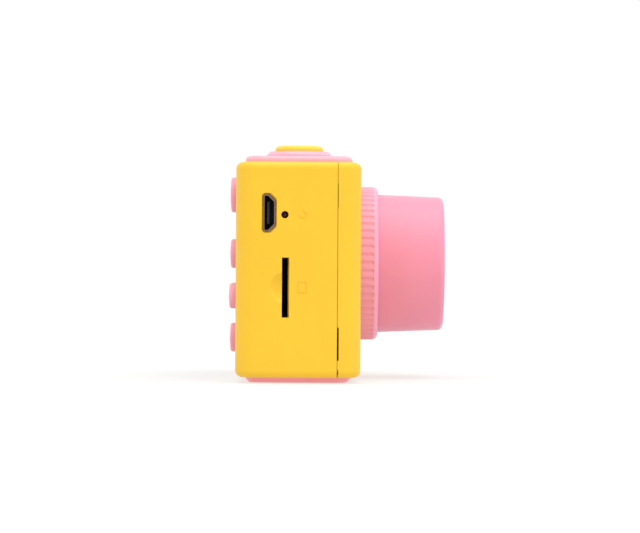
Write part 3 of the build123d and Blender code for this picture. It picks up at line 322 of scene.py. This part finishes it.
# a low index of refraction stands for an anti-reflective coat
COATED_IOR = 1.3
screen_low, screen_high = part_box("lcd_panel")
screen_middle = (screen_low + screen_high) / 2
SCREEN_ACTIVE = (40.0 * MM, 30.0 * MM)
SCREEN_VIEW = (40.2 * MM, 30.2 * MM)
SCREEN_OPENING = (42.5 * MM, 32.5 * MM)
SCREEN_SEAT_DEPTH = 0.5 * MM
WINDOW_TINT = (0.86, 0.88, 0.90)
opening_middle = Vector((screen_middle.x, screen_high.y - SCREEN_SEAT_DEPTH, screen_middle.z))
looks = {
    "yellow_shell": moulded("yellow_moulding", YELLOW),
    "yellow_button": moulded("yellow_button_moulding", (0.86, 0.585, 0.055), rough=0.34),
    "pink_trim": moulded("pink_trim_moulding", (0.92, 0.41, 0.49), rough=0.34),
    "pink_lens": moulded("pink_lens_moulding", PINK),
    "pink_key": moulded("pink_key_moulding", (0.83, 0.345, 0.44), rough=0.36),
    "clear_window": clear("clear_acrylic", ior=COATED_IOR),
    "screen_window": printed_window("screen_acrylic", WINDOW_TINT, screen_middle, SCREEN_VIEW, COATED_IOR),
    "lens_glass": glass_painted_coat_reflection("glass_painted_coat_reflection"),
    "black_plastic": matt_black("matt_black_moulding"),
    "white_plastic": moulded("natural_nylon", (0.78, 0.76, 0.70), rough=0.5),
    "lcd": display("display_off", screen_middle, SCREEN_ACTIVE),
    "circuit_board": circuit_board("green_solder_mask"),
    "chip": matt_black("chip_epoxy", 0.03, 0.55),
    "flex": soft_film("amber_polyimide", (0.48, 0.22, 0.04), 2 * MM),
    "steel": metal("plated_steel", (0.62, 0.62, 0.64)),
    "socket_steel": metal("tinned_steel", (0.60, 0.55, 0.54), 0.28, (1, 40, 1)),
    "battery_film": soft_film("pouch_film", (0.6, 0.6, 0.62), 5 * MM, 0.35, 0.1 * MM, 0.7),
    "foam_tape": matt_black("foam_tape", 0.012, 0.8),
    "wire": soft_film("wire_insulation", (0.5, 0.03, 0.02), 1.5 * MM, 0.45, 0.01 * MM),
    "led": moulded("led_phosphor", (0.85, 0.72, 0.18), rough=0.5, grain=0.05 * MM),
}
for row in frame["record"]["subparts"]:
    mesh = nodes[row["node"]].data
    mesh.materials.clear()
    mesh.materials.append(looks[row["material_slot"]])


def dress(node, material):
    """Gives one node its own variant of its slot's look."""
    nodes[node].data.materials[0] = material


dress("rear_shell", moulded("rear_shell_moulding", YELLOW, bezel=(opening_middle, SCREEN_OPENING)))
dress("usb_socket", socket_metal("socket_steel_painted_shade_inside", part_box("usb_socket")[0].x))
dress("lens_baffle", matt_black("baffle_black", 0.007, 0.75, specular=0.12))
dress("module_carrier", matt_black("carrier_black", 0.007, 0.75, specular=0.12))
dress("card_socket", matt_black("card_socket_black", 0.006, 0.7, specular=0.15))
dress("lens_ring", moulded("lens_ring_moulding", (0.86, 0.36, 0.49)))
dress("base_trim", moulded("base_trim_moulding", (1.0, 0.35, 0.365)))
for node in ("reset_plunger", "reset_switch"):
    dress(node, moulded(f"{node}_moulding", (0.30, 0.085, 0.02), rough=0.5))


# ---------------------------------------------------------------- small pieces that the camera wears


def piece(name, mesh, material, body):
    """Puts a finished bmesh in the scene as a piece that rides on a body."""
    bmesh.ops.recalc_face_normals(mesh, faces=mesh.faces)
    data = bpy.data.meshes.new(name)
    mesh.to_mesh(data)
    mesh.free()
    data.materials.append(material)
    made = bpy.data.objects.new(name, data)
    bpy.context.scene.collection.objects.link(made)
    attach(made, body)
    return made


ICON_RISE = 0.06 * MM
ICON_ROOT = 0.10 * MM
KEY_CROWN = 0.2 * MM
OK_CROWN = 0.55 * MM
KEY_OVERLAP = 0.55 * MM
# the shoulder's height and the top's share of a stroke's width
ICON_SHOULDER = ICON_RISE * 0.4
ICON_TOP_SHARE = 0.7
# a stroke's section: foot, shoulder and top on one side, then the same on the other
stroke_section = [(-1.0, -ICON_ROOT), (-1.0, ICON_SHOULDER), (-ICON_TOP_SHARE, ICON_RISE)]
stroke_section += [(-share, rise) for share, rise in reversed(stroke_section)]
THINNEST_END = 0.1
POWER_RADIUS, POWER_GAP = 1.45 * MM, 35
POWER_PEN = 0.42 * MM
POWER_BAR = (0.55, 0.95, 1.35, 1.75)
OK_RADIUS, OK_PEN = 1.1 * MM, 0.38 * MM
TALL_ARROW, SIDE_ARROW = 1.15 * MM, 0.95 * MM
ARROW_HALF_WIDTH, ARROW_FOOT, ARROW_TIP, ARROW_ROUND = 0.92, 0.55, 0.95, 0.2
icon_white = moulded("icon_ink", (0.90, 0.86, 0.86), rough=0.5, grain=0.08 * MM)


def rounded(corners, radius, steps=5):
    """A closed outline with every corner rounded by the same radius."""
    outline = []
    count = len(corners)
    for i, corner in enumerate(corners):
        here = Vector(corner)
        to_last = (Vector(corners[i - 1]) - here).normalized()
        to_next = (Vector(corners[(i + 1) % count]) - here).normalized()
        half = to_last.angle(to_next) / 2
        centre = here + (to_last + to_next).normalized() * (radius / math.sin(half))
        start = here + to_last * (radius / math.tan(half)) - centre
        end = here + to_next * (radius / math.tan(half)) - centre
        turn = start.angle_signed(end)
        for step in range(steps + 1):
            swing = Matrix.Rotation(-turn * step / steps, 2)
            outline.append(centre + swing @ start)
    return outline


def arc(radius, start, end, steps=40):
    """Points on an arc about the middle, from one angle to another in degrees."""
    turns = (math.radians(start + (end - start) * i / steps) for i in range(steps + 1))
    return [Vector((math.cos(turn), math.sin(turn))) * radius for turn in turns]


def capped(line, width, steps=5):
    """A pen stroke along a line: its points, directions across and half widths, with round ends."""
    stroke = []
    last = len(line) - 1
    for i, point in enumerate(line):
        ahead = (line[min(i + 1, last)] - line[max(i - 1, 0)]).normalized()
        across = Vector((-ahead.y, ahead.x))
        turns = [0.0]
        if i == 0:
            turns = [math.pi / 2 * (step / steps - 1) for step in range(steps + 1)]
        elif i == last:
            turns = [math.pi / 2 * step / steps for step in range(steps + 1)]
        for turn in turns:
            half = max(math.cos(turn), THINNEST_END) * width / 2
            stroke.append((point + ahead * math.sin(turn) * width / 2, across, half))
    return stroke


class Print:
    """Raised print on a key's crowned cap, drawn in the cap's own plane."""

    def __init__(self, key, crown):
        self.key = key
        low, self.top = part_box(f"{key}_button")
        self.middle = (low + self.top) / 2
        radius = (self.top.x - low.x) / 2 - KEY_OVERLAP
        self.ball = (radius**2 + crown**2) / (2 * crown)
        self.mesh = bmesh.new()

    def on_cap(self, point, rise):
        drop = self.ball - math.sqrt(self.ball**2 - point.length_squared)
        place = (self.middle.x - point.x, self.top.y - drop + rise, self.middle.z + point.y)
        return self.mesh.verts.new(place)

    def skin(self, rows, closed):
        """Quads between neighbouring rows of vertices, each row a closed section."""
        pairs = list(zip(rows, rows[1:]))
        if closed:
            pairs.append((rows[-1], rows[0]))
        for first, second in pairs:
            for i in range(len(first)):
                j = (i + 1) % len(first)
                self.mesh.faces.new((first[i], first[j], second[j], second[i]))
        if not closed:
            self.mesh.faces.new(rows[0])
            self.mesh.faces.new(list(reversed(rows[-1])))

    def stroke(self, line, width):
        rows = []
        for point, across, half in capped(line, width):
            rows.append([self.on_cap(point + across * half * share, rise) for share, rise in stroke_section])
        self.skin(rows, closed=False)

    def ring(self, radius, width):
        rows = []
        for point in arc(radius, 0, 360)[:-1]:
            outward = point.normalized() * width / 2
            rows.append([self.on_cap(point + outward * share, rise) for share, rise in stroke_section])
        self.skin(rows, closed=True)

    def patch(self, outline):
        """A filled convex shape with a bevelled edge."""
        centre = sum(outline, Vector((0, 0))) / len(outline)
        inner = [point + (centre - point).normalized() * ICON_RISE for point in outline]
        levels = [(outline, -ICON_ROOT), (outline, ICON_SHOULDER), (inner, ICON_RISE)]
        rows = [[self.on_cap(point, rise) for point in points] for points, rise in levels]
        self.skin(rows, closed=False)

    def finish(self):
        bmesh.ops.triangulate(self.mesh, faces=[f for f in self.mesh.faces if len(f.verts) > 4])
        return piece(f"{self.key}_icon", self.mesh, icon_white, f"{self.key}_key")


def arrow(turn, size):
    """A triangle with rounded corners that points up before it is turned."""
    side, foot = ARROW_HALF_WIDTH * size, -ARROW_FOOT * size
    corners = [(-side, foot), (side, foot), (0, ARROW_TIP * size)]
    swing = Matrix.Rotation(math.radians(turn), 2)
    return [swing @ point for point in rounded(corners, ARROW_ROUND * size)]


power = Print("power", KEY_CROWN)
power.stroke(arc(POWER_RADIUS, 90 + POWER_GAP, 450 - POWER_GAP), POWER_PEN)
power.stroke([Vector((0, height * MM)) for height in POWER_BAR], POWER_PEN)
power.finish()
for key, turn in (("up", 0), ("down", 180), ("left", 90), ("right", -90)):
    pointer = Print(key, KEY_CROWN)
    pointer.patch(arrow(turn, TALL_ARROW if key in ("up", "down") else SIDE_ARROW))
    pointer.finish()
okay = Print("ok", OK_CROWN)
okay.ring(OK_RADIUS, OK_PEN)
okay.finish()

# five gold contacts on the USB tongue
gold = metal("gold_plating", (0.85, 0.60, 0.22), 0.22, (1, 1, 30))
tongue_low, tongue_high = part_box("usb_tongue")
CONTACT_PITCH = 0.65 * MM
CONTACT_WIDTH = 0.32 * MM
CONTACT_RISE = 0.07 * MM
CONTACT_INSET = 0.6 * MM
CONTACT_TOP_SHARE = 0.8
# millimetres from the tongue's tip, and the share of the full rise there
contact_profile = [(0.25, 0.3), (0.6, 1.0), (1.2, 1.0), (2.6, 0.6)]
mesh = bmesh.new()
contact_face = tongue_high.y - CONTACT_INSET
for number in range(-2, 3):
    middle_z = (tongue_low.z + tongue_high.z) / 2 + number * CONTACT_PITCH
    rows = []
    for along, rise in contact_profile:
        x = tongue_low.x + along * MM
        y = contact_face - rise * CONTACT_RISE
        ring = []
        section = ((contact_face, -1), (y, -CONTACT_TOP_SHARE), (y, CONTACT_TOP_SHARE), (contact_face, 1))
        for side_y, side_z in section:
            ring.append(mesh.verts.new((x, side_y, middle_z + side_z * CONTACT_WIDTH / 2)))
        rows.append(ring)
    for first, second in zip(rows, rows[1:]):
        for i in range(4):
            j = (i + 1) % 4
            mesh.faces.new((first[i], first[j], second[j], second[i]))
    mesh.faces.new(rows[0])
    mesh.faces.new(list(reversed(rows[-1])))
piece("usb_contacts", mesh, gold, "camera")


# ---------------------------------------------------------------- stage, light and camera

FLOOR_DROP = 0.05 * MM
FLOOR_REACH = 6.0
PAPER_CLOUD_SIZE = 60 * MM
PAPER_DARK, PAPER_LIGHT = (0.25,) * 3, (0.27,) * 3
PAPER_GLOW = 0.65
# the floor is a mid grey that gives off most of its own brightness, so it looks white with a faint shadow
floor_look = Look("pale_floor")
paper = floor_look.noise(PAPER_CLOUD_SIZE, 3.0)
paper_tone = floor_look.colours(paper, PAPER_DARK, PAPER_LIGHT)
floor_look.feed("Base Color", paper_tone)
floor_look.set(Roughness=0.9, Specular_IOR_Level=0.0, Emission_Strength=PAPER_GLOW)
floor_look.shader.inputs["Emission Color"].default_value = (1, 1, 1, 1)
floor_mesh = bpy.data.meshes.new("floor")
corner_signs = ((-1, -1), (1, -1), (1, 1), (-1, 1))
floor_corners = [(sx * FLOOR_REACH, sy * FLOOR_REACH, -FLOOR_DROP) for sx, sy in corner_signs]
floor_mesh.from_pydata(floor_corners, [], [(0, 1, 2, 3)])
floor_mesh.materials.append(floor_look.material)
floor = bpy.data.objects.new("floor", floor_mesh)
bpy.context.scene.collection.objects.link(floor)

SURROUND_STRENGTH = 1.02
world = bpy.data.worlds.new("white_studio")
world.use_nodes = True
surround = world.node_tree.nodes["Background"]
surround.inputs["Color"].default_value = (1, 1, 1, 1)
surround.inputs["Strength"].default_value = SURROUND_STRENGTH
bpy.context.scene.world = world
bpy.context.scene.view_settings.view_transform = "Standard"

middle = (cad_low + cad_high) / 2


# watts per square metre of panel, for each unit of brightness
WATTS_PER_AREA = 4


def place_lamp(lamp, place):
    made = bpy.data.objects.new(lamp.name, lamp)
    made.location = place
    made.rotation_mode = "QUATERNION"
    made.rotation_quaternion = (middle - Vector(place)).to_track_quat("-Z", "Y")
    bpy.context.scene.collection.objects.link(made)


def softbox(name, bearing, distance, rise, wide, tall, radiance):
    """A lit panel facing the model, at a bearing in degrees from +X, counted towards +Y."""
    lamp = bpy.data.lights.new(name, "AREA")
    lamp.shape = "RECTANGLE"
    lamp.size = wide
    lamp.size_y = tall
    lamp.energy = WATTS_PER_AREA * radiance * wide * tall
    turn = math.radians(bearing)
    place_lamp(lamp, (distance * math.cos(turn), distance * math.sin(turn), rise))


OVERHEAD_STRENGTH = 1.6
OVERHEAD_SPREAD = math.radians(60)
OVERHEAD_PLACE = (-0.16, -0.1, 1.0)
overhead = bpy.data.lights.new("overhead", "SUN")
overhead.energy = OVERHEAD_STRENGTH
overhead.angle = OVERHEAD_SPREAD
place_lamp(overhead, OVERHEAD_PLACE)
softbox("strip_front", bearing=203, distance=1.0, rise=0.12, wide=0.08, tall=0.9, radiance=2.4)
softbox("strip_rear", bearing=157, distance=1.0, rise=0.12, wide=0.06, tall=0.9, radiance=2.4)
softbox("lens_side", bearing=250, distance=1.0, rise=0.3, wide=0.5, tall=0.5, radiance=0.8)

LENS_MM = 171.7
SENSOR_MM = 36.0
CAMERA_BACK = 0.659
AIM_REARWARD = 3.8 * MM
AIM_DOWN = 0.57 * MM
CAMERA_ROLL = math.radians(0.35)
aim = Vector((0.0, middle.y + AIM_REARWARD, middle.z - AIM_DOWN))
# the view is level and square to the socket side
sight = Vector((1.0, 0.0, 0.0))
camera_data = bpy.data.cameras.new("camera")
camera_data.lens = LENS_MM
camera_data.sensor_width = SENSOR_MM
camera_data.clip_start = 0.01
camera_data.clip_end = 50.0
camera = bpy.data.objects.new("camera", camera_data)
bpy.context.scene.collection.objects.link(camera)
camera.location = aim - sight * CAMERA_BACK
camera.rotation_mode = "QUATERNION"
level = sight.to_track_quat("-Z", "Y")
camera.rotation_quaternion = level @ Matrix.Rotation(CAMERA_ROLL, 3, "Z").to_quaternion()
bpy.context.scene.camera = camera
